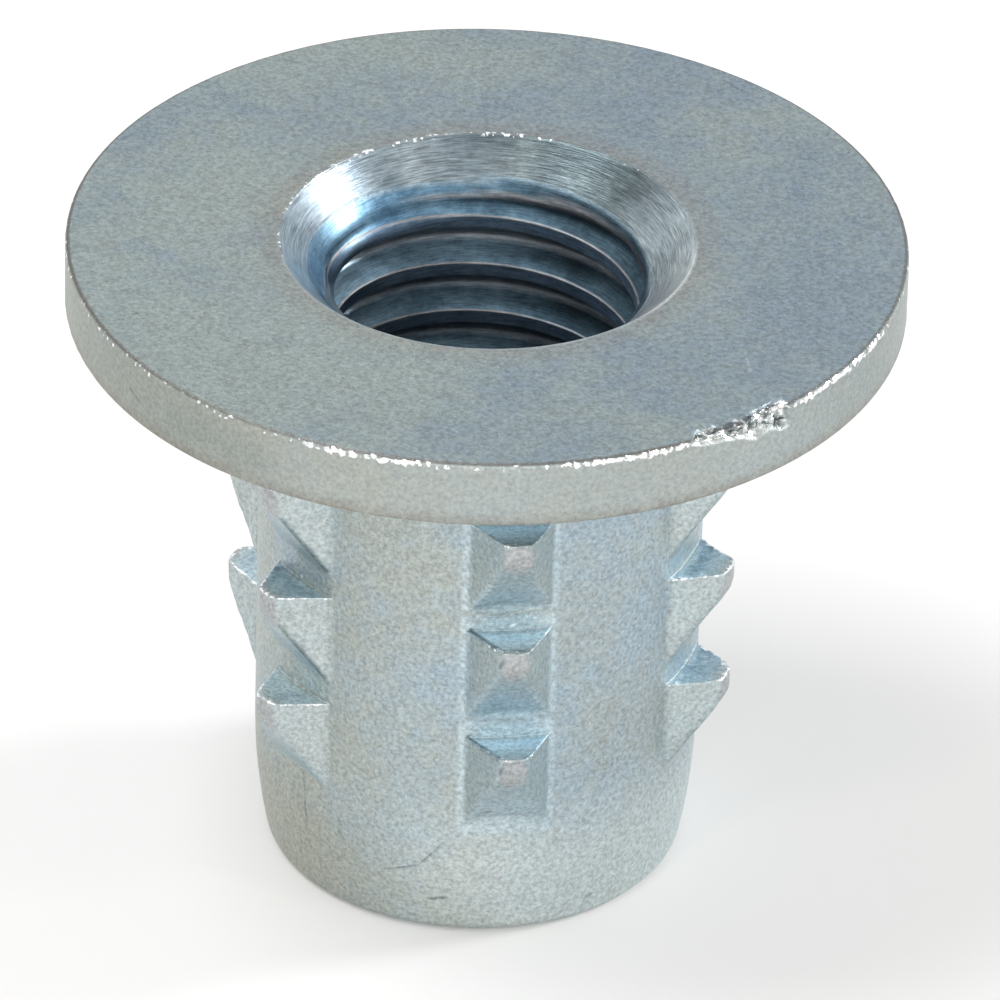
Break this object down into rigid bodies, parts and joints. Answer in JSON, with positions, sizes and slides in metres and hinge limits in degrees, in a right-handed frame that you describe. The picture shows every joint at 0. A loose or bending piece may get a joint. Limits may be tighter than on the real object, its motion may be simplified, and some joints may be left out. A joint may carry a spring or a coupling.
{
  "type": "threaded insert",
  "caption": "Flanged knock-in insert: a steel sleeve with a countersunk tapped bore, a broad flange and barbs that grip the wall of a drilled hole.",
  "frame": {"origin": "on the bore's axis, in the plane of the barrel's end, where the insert stands", "axes": "+Z along the bore's axis, from the barrel's end to the flange's face; one column of barbs faces -Y"},
  "size_m": [0.0188, 0.0188, 0.0154],
  "materials": {
    "zinc_plated_steel": "blue-passivated zinc plating on cold-formed steel, matt and finely grained"
  },
  "bodies": {
    "root": {"insert": "zinc_plated_steel"}
  },
  "joints": []
}
